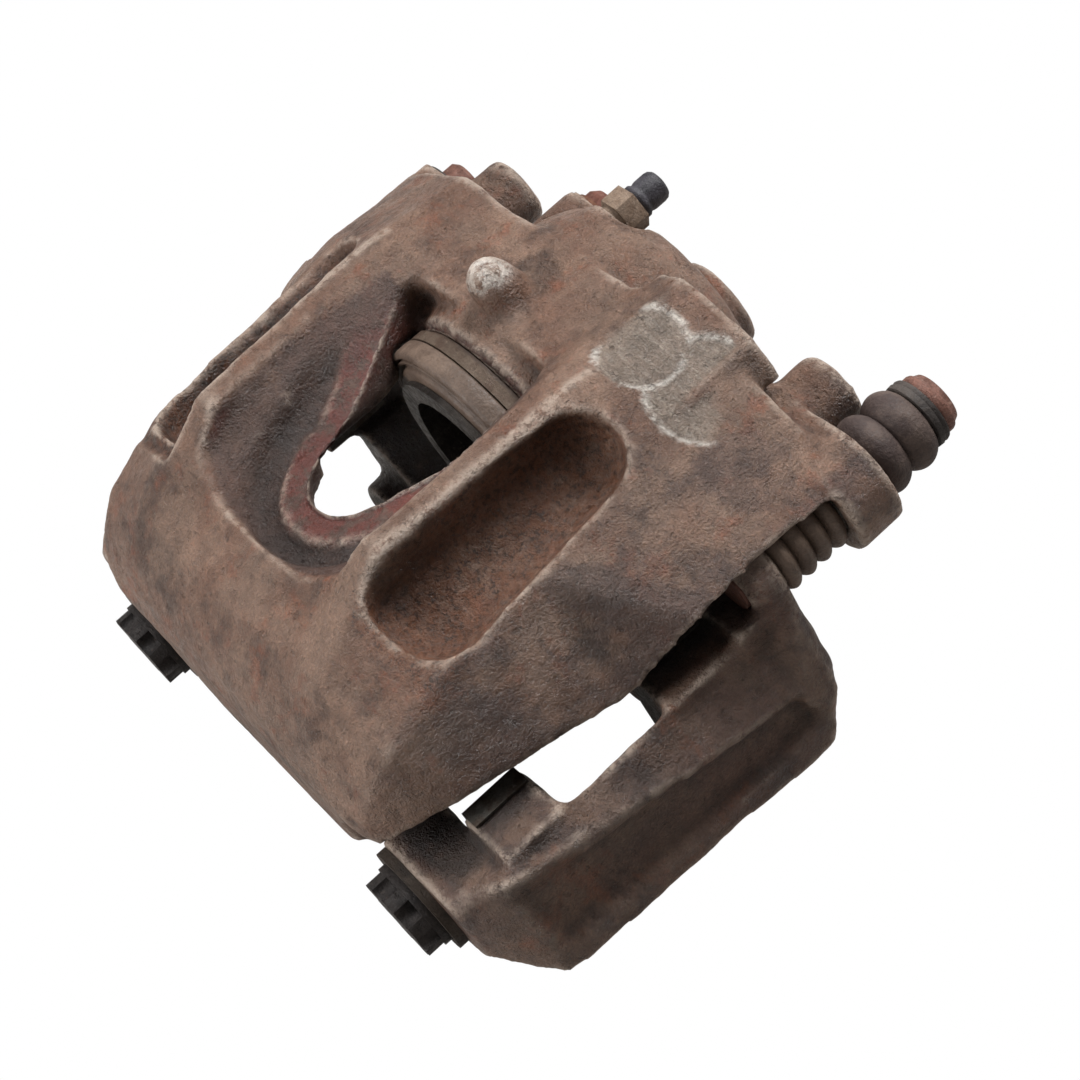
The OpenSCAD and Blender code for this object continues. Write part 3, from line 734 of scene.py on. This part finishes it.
# %% Carrier skin
end_bolt_x, end_bolt_z = 66.5, -27
lug_x, lug_z = 70, -56
abutment_x = 77
carrier = cast_skin("carrier", "carrier_casting", 1.2)
p = points_mm(carrier)
x, y, z = p[:, 0], p[:, 1], p[:, 2]
from_bolt = np.hypot(np.abs(x) - end_bolt_x, z - end_bolt_z)
from_lug = np.hypot(np.abs(x) - lug_x, z - lug_z)
from_pin = np.hypot(np.abs(x) - pin_x, z - pin_z)
from_abutment = np.abs(np.abs(x) - abutment_x)
soft = np.ones(len(p))
soft *= 1 - 0.8 * (from_bolt < 16.5) * fall(y, -47, -44)
soft *= 1 - (from_lug < 14) * ramp(y, 37, 40)
soft *= 1 - (from_pin < 9) * ramp(y, 50, 53)
soft *= 1 - 0.7 * fall(from_abutment, 1.5, 3) * (z < -3) * (z > -30)
pairs, count = soften(carrier, 4, soft)
# Painted shade, with some grime, on the carrier's inner faces round the hooks and abutments.
save_attribute(carrier, "shade_and_grime", fall(np.abs(x), 85, 92) * ramp(y, -48, -45) * (z > -50))
rough_cast(carrier, soft, ((16, 0.45), (5, 0.22), (2.4, 0.12)))
keep_in_box(carrier, "carrier")
edge_and_hollow(carrier, pairs, count)
dress(carrier, carrier_iron)
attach(carrier, "carrier")
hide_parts("carrier")
print("carrier faces:", len(carrier.data.polygons))

# %% [markdown]
# ## Turned pieces
#
# Boots, pins and the cap are all round, so each is a profile spun about its
# axis. A profile is a list of radius and distance along Y, in millimetres.

# %% Turning helper
def turned(name, profile, x_mm, z_mm, material, steps=96, angle=40):
    """Spins a closed profile about an axis along Y."""
    bm = bmesh.new()
    verts = [bm.verts.new(((x_mm + r) * MM, y_mm * MM, z_mm * MM)) for r, y_mm in profile]
    edges = [bm.edges.new((a, b)) for a, b in zip(verts, verts[1:] + verts[:1])]
    bmesh.ops.spin(bm, geom=verts + edges, cent=(x_mm * MM, 0, z_mm * MM), axis=(0, 1, 0),
                   dvec=(0, 0, 0), angle=math.tau, steps=steps, use_merge=True, use_duplicate=False)
    bmesh.ops.remove_doubles(bm, verts=bm.verts, dist=1e-6)
    bmesh.ops.recalc_face_normals(bm, faces=bm.faces)
    mesh = bpy.data.meshes.new(name)
    bm.to_mesh(mesh)
    bm.free()
    mesh.materials.append(material)
    mesh.shade_smooth()
    mesh.set_sharp_from_angle(angle=math.radians(angle))
    piece = bpy.data.objects.new(name, mesh)
    bpy.context.collection.objects.link(piece)
    return piece


def fold_profile(y0, y1, folds, big, waist, inner):
    """The outside of a boot with round folds and tight waists, and its plain inside."""
    outside = []
    for i in range(folds * 12 + 1):
        t = i / (folds * 12)
        wave = math.sin(math.pi * (t * folds % 1)) ** 0.7
        outside.append((waist + (big - waist) * wave, y0 + (y1 - y0) * t))
    return [(inner, y0)] + outside + [(inner, y1)]


# %% Pin boots
fold_r, boot_bore_r, boot_grip = 10.7, 7.1, 1.5
boots = [("left_inner", -pin_x, 55, 74, 4, 8.4), ("right_inner", pin_x, 55, 74, 4, 8.4),
         ("right_outer", pin_x, 87, 104, 2, 8.2)]
for side, at_x, y0, y1, folds, waist_r in boots:
    profile = fold_profile(y0, y1, folds, fold_r, waist_r, boot_bore_r)
    finish = dust_boot_rubber if "inner" in side else boot_rubber
    boot = turned(side + "_pin_boot_folds", profile, at_x, pin_z, finish, angle=60)
    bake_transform(boot)
    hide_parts(side + "_pin_boot")
    print(boot.name, len(boot.data.polygons))

# %% Right guide pin with its worn head, and the collar below it
pin_profile = [(0, 45), (6.5, 45), (6.5, 107.5), (7.9, 107.5), (8.1, 107.8), (8.1, 109.6),
               (7.9, 110.1), (7.3, 110.6), (6.7, 111.9), (6.2, 112), (0, 112)]
pin = turned("right_guide_pin_turned", pin_profile, pin_x, pin_z, pin_steel)
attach(pin, "carrier")
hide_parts("right_guide_pin")
collar_profile = [(6.55, 104), (8.4, 104), (9.0, 104.4), (9.1, 105.6), (8.8, 106.2), (9.0, 106.8),
                  (8.8, 107.4), (6.55, 107.45)]
collar = turned("right_boot_collar_turned", collar_profile, pin_x, pin_z, collar_rubber)
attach(collar, "carrier")
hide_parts("right_boot_collar")
print("pin and collar turned")

# %% Piston dust boot
dust_profile = [(33.65, 44.7), (36.3, 44.7), (36.35, 40.4), (37.2, 40.2), (37.7, 39.6), (37.8, 38.6),
                (37.8, 36.0), (37.5, 35.0), (36.8, 34.4), (36.1, 34.3), (35.7, 34.7), (35.5, 35.3),
                (35.1, 35.3), (35.2, 34.6), (34.9, 34.15), (34.4, 34.2), (34.0, 34.7), (33.6, 35.4),
                (33.2, 35.2), (33.0, 34.4), (32.6, 33.7), (32.0, 33.35), (28.75, 33.3), (28.75, 35.7),
                (31.0, 35.7), (31.6, 36.2), (32.2, 36.9), (33.65, 37.2)]
dust_boot = turned("piston_dust_boot_folds", dust_profile, 0, 0, dust_boot_rubber, angle=50)
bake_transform(dust_boot)
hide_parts("piston_dust_boot")

# %% [markdown]
# ## Bolts and bleed screw
#
# These come from the CAD model with their edges broken by a small bevel: a
# copy is merged, bevelled by angle and given flat-looking normals.

# %% Bevelled small parts
def bevelled(node, name, material, body, width=0.35):
    piece = merged_copy(node, name)
    bevel = piece.modifiers.new("broken_edges", "BEVEL")
    bevel.width = width * MM
    bevel.segments = 2
    bevel.limit_method = "ANGLE"
    bevel.angle_limit = math.radians(35)
    bake_modifiers(piece)
    keep_in_box(piece, node)
    piece.data.materials.clear()
    piece.data.materials.append(material)
    piece.data.shade_smooth()
    piece.data.set_sharp_from_angle(angle=math.radians(40))
    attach(piece, body)
    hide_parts(node)
    return piece


for side in ("left", "right"):
    bevelled(side + "_end_bolt", side + "_end_bolt_worn", bolt_steel, "carrier", 0.45)
bevelled("bleed_screw", "bleed_screw_worn", bleed_steel, "bleed_screw", 0.3)

# %% Bleed cap
cap_profile = [(3.25, 103.5), (4.4, 103.5), (4.7, 103.9), (4.7, 104.8), (4.2, 105.4), (4.1, 105.8),
               (4.3, 106.4), (4.4, 107), (4.4, 110), (4.2, 111), (3.6, 111.7), (2.6, 112.05), (0, 112.1),
               (0, 110.9), (3.25, 110.9)]
cap = turned("bleed_cap_moulded", cap_profile, bleed_x, bleed_z, cap_rubber)
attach(cap, "bleed_cap")
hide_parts("bleed_cap")
print("small parts done")
